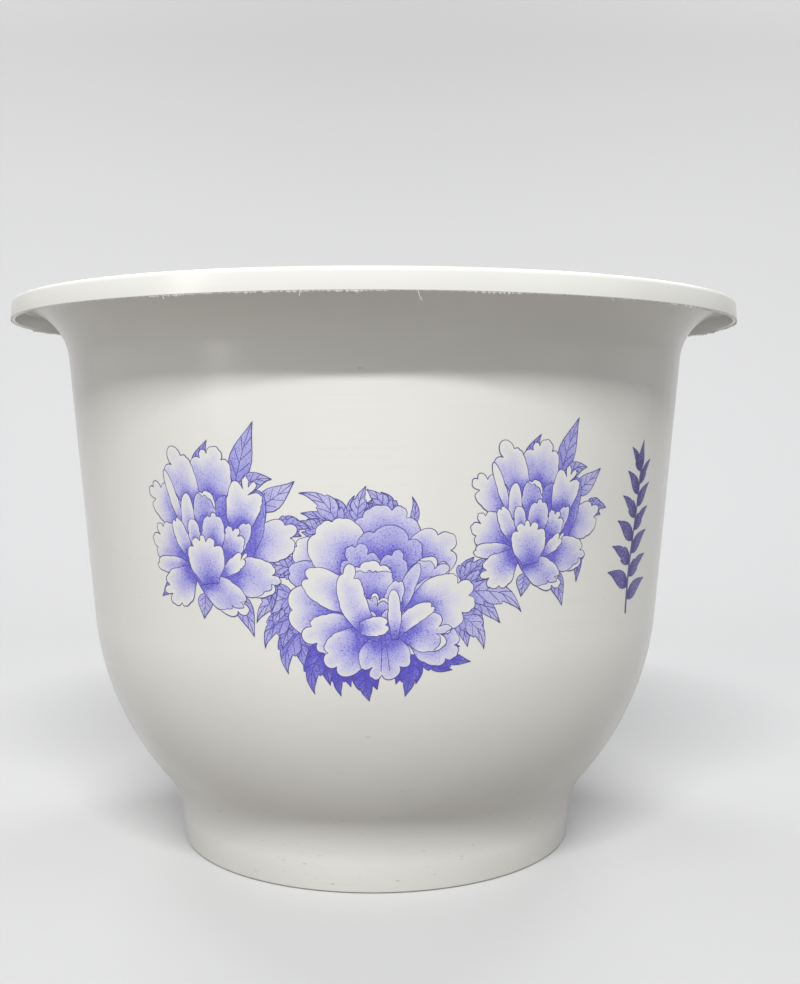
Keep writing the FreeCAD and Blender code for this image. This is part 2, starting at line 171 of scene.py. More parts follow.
def wall_run(inset):
    """The wall from the foot up to the neck, on the surface that lies inset inside the outside."""
    foot = along((FOOT_RADIUS, 0), FOOT_NORMAL, -inset)
    waist = along(WAIST_CENTRE, FOOT_NORMAL, -WAIST_RADIUS - inset)
    waist_end = along(BELLY_CENTRE, towards(BELLY_CENTRE, WAIST_CENTRE), BELLY_RADIUS - inset)
    belly_end = along(BELLY_CENTRE, WALL_NORMAL, BELLY_RADIUS - inset)
    neck = along(FLARE_CENTRE, WALL_NORMAL, -FLARE_RADIUS - inset)
    straight = [along(belly_end, towards(belly_end, neck), math.dist(belly_end, neck) * i / 6) for i in range(1, 6)]
    bends = bow(WAIST_CENTRE, waist, waist_end, WAIST_STEP)
    bends += bow(BELLY_CENTRE, waist_end, belly_end, BELLY_STEP)[1:]
    return [foot] + bends + straight + [neck]


def rim_run():
    """The flare and the lip, from the outside's neck round the lip's edge to the inside's neck."""
    lip_normal = lean(-LIP_DRAFT)
    lip_slope = (-lip_normal[1], lip_normal[0])
    lip_outside = (LIP_RADIUS, HEIGHT - LIP_DROP)
    lip_inside = (LIP_RADIUS - LIP_WALL, HEIGHT - LIP_DROP)
    lip_root = meet(lip_inside, lip_slope, FLARE_CENTRE, FLARE_RADIUS)
    rim = meet(along(lip_outside, lip_normal, -RIM_ROUND), lip_slope, FLARE_CENTRE, FLARE_RADIUS + WALL - RIM_ROUND)
    band_top = along(rim, lip_normal, RIM_ROUND)
    flare_end = along(rim, towards(FLARE_CENTRE, rim), RIM_ROUND)
    under = bow(FLARE_CENTRE, NECK, lip_root, FLARE_STEP)
    over = bow(FLARE_CENTRE, flare_end, along(FLARE_CENTRE, WALL_NORMAL, -FLARE_RADIUS - WALL), FLARE_STEP)
    outline = [(p, 0) for p in under[1:-1]] + list(zip((lip_root, lip_inside, lip_outside), LIP_ROUNDS))
    outline += [(p, 0) for p in bow(rim, band_top, flare_end, RIM_STEP) + over[1:-1]]
    return eased(outline)


def shell_outline():
    """The turned wall's outline, from the middle of the floor's top round to the middle of its underside."""
    inside = wall_run(WALL)
    corner_spot = next(p for p in inside if p[1] > FLOOR_TOP + FLOOR_ROUND)
    outside = wall_run(0)
    hollow = along((FOOT_RADIUS, 0), FOOT_NORMAL, -FOOT_WALL)
    corner = level(corner_spot, FOOT_DRAFT, FLOOR_TOP)
    low = FLOOR_HEIGHT - RIB_DROP
    gate = FLOOR_HEIGHT + CROWN_RISE
    ring_out = CROWN_EDGE + RIB_WALL
    floor = [((0, FLOOR_TOP + CROWN_RISE), 0), ((CROWN_RADIUS, FLOOR_TOP + CROWN_RISE), CROWN_ROUND)]
    floor += [((CROWN_EDGE, FLOOR_TOP), CROWN_ROUND), (corner, FLOOR_ROUND * 0.9)]
    floor += [(p, 0) for p in inside if p[1] > FLOOR_TOP + FLOOR_ROUND]
    rim = [(p, 0) for p in reversed(rim_run())]
    wall = [(p, 0) for p in reversed(outside[1:])]
    foot = ((FOOT_RADIUS, 0), level(hollow, FOOT_DRAFT, 0), level(hollow, FOOT_DRAFT, FLOOR_HEIGHT))
    ring = ((ring_out, FLOOR_HEIGHT), (ring_out, low), (CROWN_EDGE, low), (CROWN_EDGE, FLOOR_HEIGHT))
    crown = [((CROWN_EDGE - FLOOR_WALL / 2, FLOOR_HEIGHT), 0), ((CROWN_RADIUS - FLOOR_WALL / 2, gate), 0)]
    stub = ((GATE_RADIUS, gate), (GATE_RADIUS, gate - GATE_DROP), (0, gate - GATE_DROP))
    below = [*zip(foot, FOOT_ROUNDS), *zip(ring, RING_ROUNDS), *crown, *zip(stub, GATE_ROUNDS)]
    return eased(floor + rim + wall + below)


def mesh_of(name, points, edges=(), faces=()):
    mesh = bpy.data.meshes.new(name)
    mesh.from_pydata(points, edges, faces)
    return mesh


def shown(name, mesh):
    piece = bpy.data.objects.new(name, mesh)
    bpy.context.scene.collection.objects.link(piece)
    return piece


def add(tree, kind, inputs=None, **settings):
    """Adds a node with its settings. An input given a node or a socket is linked, and any other is set."""
    node = tree.nodes.new(kind)
    for key, value in settings.items():
        setattr(node, key, value)
    for key, value in (inputs or {}).items():
        value = value.outputs[0] if isinstance(value, bpy.types.Node) else value
        if isinstance(value, bpy.types.NodeSocket):
            tree.links.new(value, node.inputs[key])
        else:
            node.inputs[key].default_value = value
    return node


def calc(tree, first, second, operation="ADD"):
    return add(tree, "ShaderNodeMath", {0: first, 1: second}, operation=operation)


def ranged(tree, value, low, high, first=0.0, last=1.0):
    """A value that runs from first to last while the given one runs from low to high."""
    return add(tree, "ShaderNodeMapRange", {"Value": value, 1: low, 2: high, 3: first, 4: last})


def mixed(tree, share, first, second):
    """The first colour, turning into the second as share grows."""
    return add(tree, "ShaderNodeMix", {"Factor": share, 6: first, 7: second}, data_type="RGBA").outputs[2]


def modelling_tree(name, sizes):
    """A new modelling tree with one named input for each size. Gives the tree and its inputs."""
    tree = bpy.data.node_groups.new(name, "GeometryNodeTree")
    tree.interface.new_socket("Geometry", in_out="INPUT", socket_type="NodeSocketGeometry")
    tree.interface.new_socket("Geometry", in_out="OUTPUT", socket_type="NodeSocketGeometry")
    for size, value in sizes.items():
        kind = "NodeSocketInt" if isinstance(value, int) else "NodeSocketFloat"
        tree.interface.new_socket(size, in_out="INPUT", socket_type=kind).default_value = value
    return tree, add(tree, "NodeGroupInput").outputs


def modelled(name, start, tree, sizes):
    """The plain mesh object that a modelling tree makes from a start mesh and its sizes."""
    source = shown(name + "_start", start)
    modifier = source.modifiers.new("tree", "NODES")
    modifier.node_group = tree
    for socket in tree.interface.items_tree:
        if socket.in_out == "INPUT" and socket.name in sizes:
            modifier[socket.identifier] = sizes[socket.name]
    graph = bpy.context.evaluated_depsgraph_get()
    mesh = bpy.data.meshes.new_from_object(source.evaluated_get(graph), depsgraph=graph)
    bpy.data.objects.remove(source)
    return shown(name, mesh)


def spot(tree, x, z):
    return add(tree, "ShaderNodeCombineXYZ", {"X": x, "Z": z})


def moved(tree, shape, place):
    return add(tree, "GeometryNodeTransform", {"Geometry": shape, "Translation": place})


def ring_of(tree, shape, x, z, count, phase=0.0):
    """Copies of shape evenly about the pot's axis, x out and z up, the first one phase of a space round."""
    points = add(tree, "GeometryNodePoints", {"Count": count})
    place = calc(tree, add(tree, "GeometryNodeInputIndex"), phase)
    angle = calc(tree, place, calc(tree, math.tau, count, "DIVIDE"), "MULTIPLY")
    turn = add(tree, "FunctionNodeAxisAngleToRotation", {"Axis": (0, 0, 1), "Angle": angle})
    links = {"Points": points, "Instance": moved(tree, shape, spot(tree, x, z)), "Rotation": turn}
    copies = add(tree, "GeometryNodeInstanceOnPoints", links)
    return add(tree, "GeometryNodeRealizeInstances", {0: copies})


def linear(code):
    """An sRGB hex colour as linear red, green, blue and alpha."""
    parts = [int(code[i:i + 2], 16) / 255 for i in (1, 3, 5)]
    return tuple(c / 12.92 if c <= 0.04045 else ((c + 0.055) / 1.055) ** 2.4 for c in parts) + (1.0,)


def here(tree):
    """The piece's own coordinates."""
    return add(tree, "ShaderNodeTexCoord").outputs["Object"]


def pattern(tree, size, detail=2.0):
    """Noise with features about size millimetres across."""
    noise = {"Vector": here(tree), "Scale": 0.8 / (size * MM), "Detail": detail}
    return add(tree, "ShaderNodeTexNoise", noise).outputs["Fac"]


def finish(name):
    """A new material and its empty node tree."""
    material = bpy.data.materials.new(name)
    material.use_nodes = True
    material.node_tree.nodes.clear()
    return material, material.node_tree


def surfaced(tree, links):
    add(tree, "ShaderNodeOutputMaterial", {"Surface": add(tree, "ShaderNodeBsdfPrincipled", links)})


def moulded_gloss(name, colour, *more):
    """The shared skin of the moulding: a smooth shine that wavers a little, with faint orange peel."""
    material, tree = finish(name)
    sheen = ranged(tree, pattern(tree, SHEEN_SIZE, 3), 0.0, 1.0, *SHEEN)
    peel = {"Height": pattern(tree, PEEL_SIZE), "Strength": 0.05, "Distance": PEEL_DEPTH * MM}
    links = {"Base Color": colour(tree, *more), "Roughness": sheen, "Normal": add(tree, "ShaderNodeBump", peel)}
    surfaced(tree, dict(links, IOR=PLASTIC_IOR))
    return material


def stretched(tree, width, height, detail):
    """Noise drawn out round the pot: its features are width across and height high."""
    flat = {"Vector": here(tree), "Scale": [0.8 / (size * MM) for size in (width, width, height)]}
    flat = add(tree, "ShaderNodeMapping", flat)
    return add(tree, "ShaderNodeTexNoise", {"Vector": flat, "Scale": 1.0, "Detail": detail}).outputs["Fac"]


def shell_colour(tree):
    """White that clouds a little where the melt flowed, with short grey scuffs, most of them on the foot."""
    cloud = ranged(tree, pattern(tree, CLOUD_SIZE, 4), 0.35, 0.7)
    streak = ranged(tree, stretched(tree, *STREAK_SIZE, 3), 0.45, 0.75, 0.0, 0.6)
    white = mixed(tree, calc(tree, cloud, streak, "MAXIMUM"), linear(SHELL_WHITE), linear(SHELL_CLOUD))
    height = add(tree, "ShaderNodeSeparateXYZ", {0: here(tree)}).outputs["Z"]
    rare = ranged(tree, height, SCUFF_TOP[0] * MM, SCUFF_TOP[1] * MM, 0.7, 0.76)
    scuff = ranged(tree, calc(tree, stretched(tree, *SCUFF_SIZE, 2), rare, "SUBTRACT"), 0.0, 0.05, 0.0, 0.5)
    return mixed(tree, scuff, white, linear(SHELL_SCUFF))


# Polypropylene from a polished mould: to the eye a milky white with a wet shine and soft-edged highlights
shell_plastic = moulded_gloss("white_polypropylene_polished_mould", shell_colour)

SHELL_SIZES = {
    "Segments": TURN_SEGMENTS,
    "Ribs": RIB_COUNT,
    "Rib Start": CROWN_EDGE * MM,
    "Rib Reach": (FOOT_RADIUS - FOOT_WALL / 2 - CROWN_EDGE) * MM,
    "Rib Wall": RIB_WALL * MM,
    "Rib Drop": RIB_DROP * MM,
    "Drains": DRAIN_COUNT,
    "Drain Circle": DRAIN_CIRCLE * MM,
    "Drain Radius": DRAIN_RADIUS * MM,
    "Collar Wall": COLLAR_WALL * MM,
    "Collar Drop": COLLAR_DROP * MM,
    "Floor Height": FLOOR_HEIGHT * MM,
    "Floor Wall": FLOOR_WALL * MM,
    "Chamfer": DRAIN_CHAMFER * MM,
}


def hung(tree, size, drop):
    """The height and the middle of what reaches from the floor's mid-plane to drop below the floor."""
    half_floor = calc(tree, size["Floor Wall"], 0.5, "MULTIPLY")
    fall = calc(tree, calc(tree, half_floor, drop, "SUBTRACT"), 0.5, "MULTIPLY")
    return calc(tree, drop, half_floor), calc(tree, size["Floor Height"], fall)


def shell_tree():
    """Turns the outline about the axis, adds the ribs and the collars below the floor, and bores the drains."""
    tree, size = modelling_tree("turned_shell", SHELL_SIZES)
    path = add(tree, "GeometryNodeCurvePrimitiveCircle", {"Resolution": size["Segments"], "Radius": 0.1})
    outline = add(tree, "GeometryNodeMeshToCurve", {0: size["Geometry"]})
    outline = moved(tree, outline, (-0.1, 0, 0))
    skin = add(tree, "GeometryNodeCurveToMesh", {"Curve": path, "Profile Curve": outline})
    skin = add(tree, "GeometryNodeMergeByDistance", {"Geometry": skin, "Distance": 1e-5})

    def at_drains(shape, height):
        return ring_of(tree, shape, size["Drain Circle"], height, size["Drains"])

    rib_height, rib_middle = hung(tree, size, size["Rib Drop"])
    rib = add(tree, "ShaderNodeCombineXYZ", {"X": size["Rib Reach"], "Y": size["Rib Wall"], "Z": rib_height})
    rib = add(tree, "GeometryNodeMeshCube", {"Size": rib})
    rib_out = calc(tree, size["Rib Start"], calc(tree, size["Rib Reach"], 0.5, "MULTIPLY"))
    ribs = ring_of(tree, rib, rib_out, rib_middle, size["Ribs"], 0.5)
    collar_height, collar_middle = hung(tree, size, size["Collar Drop"])
    collar_radius = calc(tree, size["Drain Radius"], size["Collar Wall"])
    collar = {"Vertices": BORE_SEGMENTS, "Radius": collar_radius, "Depth": collar_height}
    collars = at_drains(add(tree, "GeometryNodeMeshCylinder", collar), collar_middle)
    bore_height = calc(tree, calc(tree, size["Collar Drop"], size["Floor Wall"]), 2.0, "MULTIPLY")
    bore = {"Vertices": BORE_SEGMENTS, "Radius": size["Drain Radius"], "Depth": bore_height}
    bores = at_drains(add(tree, "GeometryNodeMeshCylinder", bore), size["Floor Height"])
    mouth_height = calc(tree, size["Chamfer"], 2.0, "MULTIPLY")
    mouth = {"Radius Bottom": size["Drain Radius"], "Radius Top": calc(tree, size["Drain Radius"], mouth_height)}
    mouth = add(tree, "GeometryNodeMeshCone", dict(mouth, Vertices=BORE_SEGMENTS, Depth=mouth_height))
    floor_top = calc(tree, size["Floor Height"], size["Floor Wall"])
    mouths = at_drains(mouth, calc(tree, floor_top, size["Chamfer"], "SUBTRACT"))
    whole = add(tree, "GeometryNodeMeshBoolean", operation="UNION", solver="MANIFOLD")
    for shape in (skin, ribs, collars):
        tree.links.new(shape.outputs[0], whole.inputs["Mesh 2"])
    whole = {"Mesh 1": whole}
    holes = add(tree, "GeometryNodeMeshBoolean", whole, operation="DIFFERENCE", solver="MANIFOLD")
    for shape in (bores, mouths):
        tree.links.new(shape.outputs[0], holes.inputs["Mesh 2"])
    smooth = add(tree, "GeometryNodeSetShadeSmooth", {0: holes}, domain="FACE")
    fold = add(tree, "GeometryNodeInputMeshEdgeAngle").outputs["Unsigned Angle"]
    sharp = add(tree, "FunctionNodeCompare", {0: fold, 1: math.radians(SHARP_FOLD)}, operation="GREATER_THAN")
    links = {0: smooth, "Selection": sharp, "Shade Smooth": False}
    crisp = add(tree, "GeometryNodeSetShadeSmooth", links, domain="EDGE")
    solid = add(tree, "GeometryNodeRealizeInstances", {0: crisp})
    clad = add(tree, "GeometryNodeSetMaterial", {"Geometry": solid, "Material": shell_plastic})
    add(tree, "NodeGroupOutput", {0: clad})
    return tree


outline = shell_outline()
edges = [(i, i + 1) for i in range(len(outline) - 1)]
start = mesh_of("shell_outline", [(r * MM, -z * MM, 0) for r, z in outline], edges)  # the sweep turns it upright
shell = modelled("pot_wall", start, shell_tree(), SHELL_SIZES)
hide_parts("pot_shell")
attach(shell, "pot")

# ---- Moulding flash on the lip ----
# A thin ragged fin of the same plastic, left hanging where the mould's two halves met at the lip's
# lower edge. It is broken off by hand in places, so its depth keeps changing.
FLASH_RADIUS = (LIP_RADIUS - 0.3) * MM
FLASH_SIZES = {"Radius": FLASH_RADIUS, "Steps": 4200, "Depth": 3.0 * MM, "Wall": 0.3 * MM, "Hair": 0.14 * MM}
TEAR_SCALES = (28.0, 900.0)  # of the noise: stretches about 30 mm long, with tears about 1 mm wide
HAIRS = [(5, 4.2, 22), (-9, 2.2, -8), (31, 1.8, 30), (-27, 1.6, 14), (118, 3.2, -16), (205, 2.4, 12)]


def hair_lines():
    """Hairs of plastic pulled out as the mould opened: bent lines, each given an azimuth, a length and a lean."""
    points, edges = [], []
    for azimuth, length, lean in HAIRS:
        side, down = 0.0, 0.0
        for step in range(7):
            turn = math.radians(azimuth - 90) + side / LIP_RADIUS
            points.append((FLASH_RADIUS * math.cos(turn), FLASH_RADIUS * math.sin(turn), -down * MM))
            if step:
                edges.append((len(points) - 2, len(points) - 1))
            bend = math.radians(lean * (0.3 + step / 4))
            side, down = side + length / 6 * math.sin(bend), down + length / 6 * math.cos(bend)
    return mesh_of("hair_lines", points, edges)


def flash_tree():
    tree, size = modelling_tree("ragged_flash", FLASH_SIZES)
    path = add(tree, "GeometryNodeCurvePrimitiveCircle", {"Resolution": size["Steps"], "Radius": size["Radius"]})
    place = add(tree, "GeometryNodeInputPosition")
    coarse, fine = [
        add(tree, "ShaderNodeTexNoise", {"Vector": place, "Scale": scale, "Detail": detail}).outputs["Fac"]
        for scale, detail in zip(TEAR_SCALES, (2.0, 4.0))
    ]
    left_on = ranged(tree, coarse, 0.42, 0.62, 0.3)
    torn = ranged(tree, fine, 0.42, 0.68, 0.1)
    depth = calc(tree, left_on, torn, "MULTIPLY")
    fin = {"Bottom Width": size["Wall"], "Top Width": size["Wall"], "Height": size["Depth"], "Offset": 0.0}
    fin = add(tree, "GeometryNodeCurvePrimitiveQuadrilateral", fin, mode="TRAPEZOID")
    swept = {"Curve": path, "Profile Curve": fin, "Scale": depth}
    skin = add(tree, "GeometryNodeCurveToMesh", swept)
    hairs = add(tree, "GeometryNodeMeshToCurve", {0: size["Geometry"]})
    wire = add(tree, "GeometryNodeCurvePrimitiveCircle", {"Resolution": 5, "Radius": size["Hair"]})
    wires = {"Curve": hairs, "Profile Curve": wire, "Fill Caps": True}
    wires = add(tree, "GeometryNodeCurveToMesh", wires)
    both = add(tree, "GeometryNodeJoinGeometry", {0: skin})
    tree.links.new(wires.outputs[0], both.inputs[0])
    skin = add(tree, "GeometryNodeRealizeInstances", {0: both})
    clad = add(tree, "GeometryNodeSetMaterial", {"Geometry": skin, "Material": shell_plastic})
    lifted = moved(tree, clad, spot(tree, 0.0, (HEIGHT - LIP_DROP) * MM))
    add(tree, "NodeGroupOutput", {0: lifted})
    return tree


flash = modelled("lip_flash", hair_lines(), flash_tree(), FLASH_SIZES)
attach(flash, "pot")

# ---- Middle peony print ----
# A heat-transfer film, thinner than a hair, ironed onto the belly after moulding: one full peony in
# blue-violet with its leaves. Each petal is white at its notched rim and runs to violet at its root,
# in a fine stipple, with a thin outline round it. The drawing is in millimetres on the unrolled wall.
MIDDLE_AZIMUTH = 0.0
MIDDLE_HEIGHT = 147.0
FILM_LOW = 0.03  # the film's underside above the wall
FILM_LIFT = 0.08  # the wash's top above the wall
LINE_LIFT = 0.11
LINE_WIDTH = 0.34
VEIN_WIDTH = 0.272
INK_STEP = 0.7  # spacing of the points along an outline
FILL_STEP = (2.2, 1.9)  # spacing of the points inside the drawing, across and up
FILL_SEED = 7
SHADE_REACH = 3.2  # how far the ink deepens beside what lies over it
MOST_INK = 0.9
INK_PALE = "#bebde8"
INK_MIDDLE = "#9391dc"
INK_DEEP = "#5951c9"
INK_LINE = "#4f4b93"
LINE_ROUGH = 0.24
GRAIN_SIZE = 0.45
DOT_SPACING = 1.2  # between the stipple's heavier dots, coarser than in the real print so that they show
DOT_INK = 0.33


def placed(points, root, turn, bend, length):
    """A shape drawn upwards from the origin, bent by some degrees, turned, and moved to its root."""
    x, y = points[:, 0], points[:, 1]
    k = math.radians(bend or 0.01) / length
    x, y = (1 - np.cos(k * y)) / k + x * np.cos(k * y), np.sin(k * y) / k - x * np.sin(k * y)
    c, s = math.cos(math.radians(turn - 90)), math.sin(math.radians(turn - 90))
    return np.stack([root[0] + x * c - y * s, root[1] + x * s + y * c], axis=1)


def petal_edge(length, width, neck, lobes, notch, seed, tip):
    """A petal's outline, from its narrow root round its lobed, frilled rim. Also says which points are rim."""
    rng = random.Random(seed)
    cuts = [0.0] + [(i + rng.uniform(-0.26, 0.26)) / lobes for i in range(1, lobes)] + [1.0]
    depths = [0.4] + [notch * rng.uniform(0.6, 1.7) for _ in range(1, lobes)] + [0.4]
    frills = [rng.choice((1, 2, 3)) for _ in range(lobes)]
    waves = [(n, rng.uniform(0, math.tau), 0.028 * width / n ** 0.5 * rng.uniform(0.4, 1)) for n in (2, 3, 5)]
    lopsided = rng.uniform(-0.1, 0.1)
    belly, sides, rim = length * (1 - tip), [], []
    for i in range(12):
        s = i / 12
        half = width / 2 * (neck + (1 - neck) * math.sin(math.pi / 2 * s) ** 1.2)
        sides.append((half + 0.018 * width * math.sin(9 * s + waves[0][1]) * math.sin(math.pi * s), belly * s))
    steps = max(30, int(math.pi * width / 1.0))
    for j in range(steps + 1):
        s = j / steps
        k = min(i for i in range(lobes) if s <= cuts[i + 1])
        u = (s - cuts[k]) / (cuts[k + 1] - cuts[k])
        fall = depths[k + (u > 0.5)] * (1 - abs(math.sin(math.pi * u)) ** 0.55)
        fall += 0.22 * notch * (1 - abs(math.sin(math.pi * frills[k] * u)) ** 0.6) * abs(math.sin(math.pi * s)) ** 0.5
        fall += sum(a * math.sin(n * math.pi * s + o) for n, o, a in waves) * math.sin(math.pi * s)
        turn = math.pi * (1 - s)
        out = (width / 2 - fall) * math.cos(turn)
        rim.append((out, belly + (length * tip - fall) * math.sin(turn) * (1 + lopsided * math.cos(turn))))
    edge = [(-x, y) for x, y in sides] + rim + sides[::-1]
    flags = [i > 8 for i in range(12)] + [True] * len(rim) + [i < 3 for i in range(12)]
    return np.array(edge), np.array(flags)


def petal(root, turn, length, width, lobes, tone, neck, notch, bend, low, fade, tip=0.42, veins=0, fold=None):
    """One petal. Neck is the root's share of the width, tip the rim's share of the length, and notch the depth
    of the rim's cuts. The ink runs from low at the rim to tone at the root, and later with more fade. A fold
    turns over the rim between two shares of its run, to some depth."""
    edge, rim = petal_edge(length, width, neck, lobes, notch, length * 10 + turn + lobes, tip)
    lines = []
    for i in range(veins):
        x = ((i + 1) / (veins + 1) - 0.5) * width * 0.5
        run = [(x * (0.25 + 0.75 * s), length * (0.02 + 0.8 * s)) for s in np.linspace(0, 1, 12)]
        lines.append(placed(np.array(run), root, turn, bend, length))
    put = placed(edge, root, turn, bend, length)
    whole = {"edge": put, "rim": put[rim], "root": root, "tone": tone, "low": low, "fade": fade}
    shapes = [dict(whole, lines=lines, shade=0.5)]
    if fold:
        first, last, height = fold
        spots = edge[rim]
        outer = spots[int(first * len(spots)):int(last * len(spots))]
        inner = []
        for i, point in enumerate(outer):
            lift = height * abs(math.sin(math.pi * i / (len(outer) - 1))) ** 0.8 * (1 + 0.14 * math.sin(0.55 * i))
            inner.append(along(point, towards(point, (0, length / 2)), lift))
        strip = placed(np.concatenate([outer, inner[-2:0:-1]]), root, turn, bend, length)
        under = strip[len(outer):]
        turned = {"edge": strip, "rim": strip[:len(outer)], "root": under[len(under) // 2], "lines": []}
        shapes.append(dict(turned, tone=0.1, low=0.0, fade=1.0, shade=0.2))
    return shapes


def leaf(root, turn, length, width, teeth, bend, tone):
    """One pointed leaf in a flat tone, with teeth that point to its tip, a midrib and side veins."""
    sides = []
    for side, shift in ((-1, 0.0), (1, 0.06)):
        run, start, kept = [], 0.0, 1.0
        for i in range(teeth + 1):
            end = (i + 1) / (teeth + 1) * 0.86 + shift if i < teeth else 1.0
            for j in range(1, 8):
                s = start + (end - start) * j / 7
                half = width / 2 * abs(math.sin(math.pi * s ** 0.72)) ** 1.2 * (1 - 0.28 * s)
                run.append((side * half * (kept + (1 - kept) * min(1, j / 7 * 1.6)), length * s))
            start, kept = end - 0.07, 0.62
        sides.append(run)
    outline = np.array([(0.0, 0.0)] + sides[0] + sides[1][-2::-1])
    lines = [np.array([(0, s * length) for s in np.linspace(0, 0.96, 14)])]
    for i in range(3):
        for side in (-1, 1):
            s = 0.14 + 0.2 * i + 0.05 * (side > 0)
            reach = side * width * 0.36 * math.sin(math.pi * (s + 0.2) ** 0.72)
            lines.append(np.array([(reach * t ** 0.9, length * (s + 0.2 * t)) for t in np.linspace(0, 1, 5)]))
    for run in [outline] + lines:  # the tip hooks over, further than the leaf bends
        run[:, 0] += bend / 50 * length * np.maximum(0, run[:, 1] / length - 0.45) ** 2
    outline, *lines = [placed(run, root, turn, bend, length) for run in [outline] + lines]
    return {"edge": outline, "rim": None, "tone": tone, "lines": lines, "shade": 0.22}


def evened(run, closed):
    """The same line with points about INK_STEP apart, its own corners kept."""
    ends = np.roll(run, -1, axis=0) if closed else run[1:]
    points = []
    for a, b in zip(run, ends):
        count = max(1, round(math.dist(a, b) / INK_STEP))
        points += [a + (b - a) * i / count for i in range(count)]
    return np.array(points if closed else points + [run[-1]])


def within(points, edge):
    """Which points lie inside a closed outline."""
    a, b = edge, np.roll(edge, -1, axis=0)
    x, y = points[:, :1], points[:, 1:]
    straddles = (a[:, 1] > y) != (b[:, 1] > y)
    rise = np.where(b[:, 1] == a[:, 1], 1e-9, b[:, 1] - a[:, 1])
    return (straddles & (x < a[:, 0] + (y - a[:, 1]) * (b[:, 0] - a[:, 0]) / rise)).sum(axis=1) % 2 == 1


def hidden(points, front):
    """Which points lie under any of the shapes in front."""
    result = np.zeros(len(points), bool)
    for shape in front:
        low, high = shape["edge"].min(axis=0), shape["edge"].max(axis=0)
        near = ((points > low) & (points < high)).all(axis=1) & ~result
        if near.any():
            result[near] = within(points[near], shape["edge"])
    return result


def seen_runs(run, front):
    """The stretches of a line that no shape in front covers, cut exactly where they go under."""
    dark = hidden(run, front)
    runs, part = [], []
    for i, point in enumerate(run):
        if i and dark[i] != dark[i - 1]:
            seen, unseen = (run[i - 1], point) if dark[i] else (point, run[i - 1])
            for _ in range(9):
                middle = (seen + unseen) / 2
                seen, unseen = (seen, middle) if hidden(middle[None], front)[0] else (middle, unseen)
            part.append(seen)
        if dark[i]:
            runs.append(part)
            part = []
        else:
            part.append(point)
    return [np.array(part) for part in runs + [part] if len(part) > 2]


def apart(points, others):
    """Each point's distance to the nearest of the others."""
    return np.sqrt(((points[:, None] - others[None]) ** 2).sum(axis=2).min(axis=1))


def ink_at(points, shape, front):
    """The ink of a shape at points of its own: less from root to rim, and more beside what lies over it."""
    near = [other["edge"] for other in front if hidden(other["edge"], [shape]).any()]
    under = np.exp(-((apart(points, np.concatenate(near)) / SHADE_REACH) ** 2)) if near else np.zeros(len(points))
    if shape["rim"] is None:
        return shape["tone"] + shape["shade"] * under
    out = apart(points, shape["rim"])
    share = out / (out + np.hypot(*(points - shape["root"]).T) + 1e-6)
    ink = shape["low"] + (shape["tone"] - shape["low"]) * np.clip(share * 1.25, 0, 1) ** shape["fade"]
    return np.minimum(MOST_INK, ink + shape["shade"] * 0.8 * under * (0.25 + 0.75 * np.clip(share * 2.2, 0, 1)))


def on_wall(points, azimuth, height, lift):
    """Points of the drawing as places on the wall in metres, and the wall's outward directions there."""
    start = (height - BELLY_TOP) / WALL_NORMAL[0]
    run = start + points[:, 1]
    angle = np.radians(-WALL_TAPER) + np.minimum(run, 0) / BELLY_RADIUS
    rise = np.maximum(run, 0)
    out, up = np.cos(angle), np.sin(angle)
    r = BELLY_CENTRE[0] + (BELLY_RADIUS + lift) * out - rise * WALL_NORMAL[1]
    z = BELLY_CENTRE[1] + (BELLY_RADIUS + lift) * up + rise * WALL_NORMAL[0]
    turn = math.radians(azimuth) + points[:, 0] / level(BELLY_START, WALL_TAPER, height)[0]
    places = np.stack([r * np.sin(turn), -r * np.cos(turn), z], axis=1) * MM
    return places, np.stack([out * np.sin(turn), -out * np.cos(turn), up], axis=1)


def wash_faces(shapes):
    """Cuts the drawing into triangles that each show one shape. Gives the points, the triangles and their ink."""
    flat = np.concatenate([shape["edge"] for shape in shapes])
    counts = np.cumsum([0] + [len(shape["edge"]) for shape in shapes])
    loops = [list(range(a, b)) for a, b in zip(counts, counts[1:])]
    low, high = flat.min(axis=0), flat.max(axis=0)
    rng = np.random.default_rng(FILL_SEED)
    grid = np.meshgrid(*(np.arange(a, b, step) for a, b, step in zip(low, high, FILL_STEP)))
    grid = np.stack(grid, axis=-1)
    grid[1::2, :, 0] += FILL_STEP[0] / 2
    inner = grid.reshape(-1, 2)
    inner = inner + rng.uniform(-0.3, 0.3, inner.shape)
    flat = np.concatenate([flat, inner[hidden(inner, shapes)]])
    cut = delaunay_2d_cdt([Vector(p) for p in flat], [], loops, 1, 1e-4)
    points = np.array([tuple(p) for p in cut[0]])
    faces = np.array(cut[2])
    middles = points[faces].mean(axis=1)
    owner = np.full(len(faces), -1)
    for i in range(len(shapes) - 1, -1, -1):
        free = owner < 0
        owner[np.flatnonzero(free)[hidden(middles[free], [shapes[i]])]] = i
    faces, owner = faces[owner >= 0], owner[owner >= 0]
    ink = np.zeros(faces.shape)
    for i, shape in enumerate(shapes):
        own = owner == i
        if own.any():
            corners = faces[own].ravel()
            names, back = np.unique(corners, return_inverse=True)
            ink[own] = ink_at(points[names], shape, shapes[i + 1:])[back].reshape(-1, 3)
    return points, faces, ink


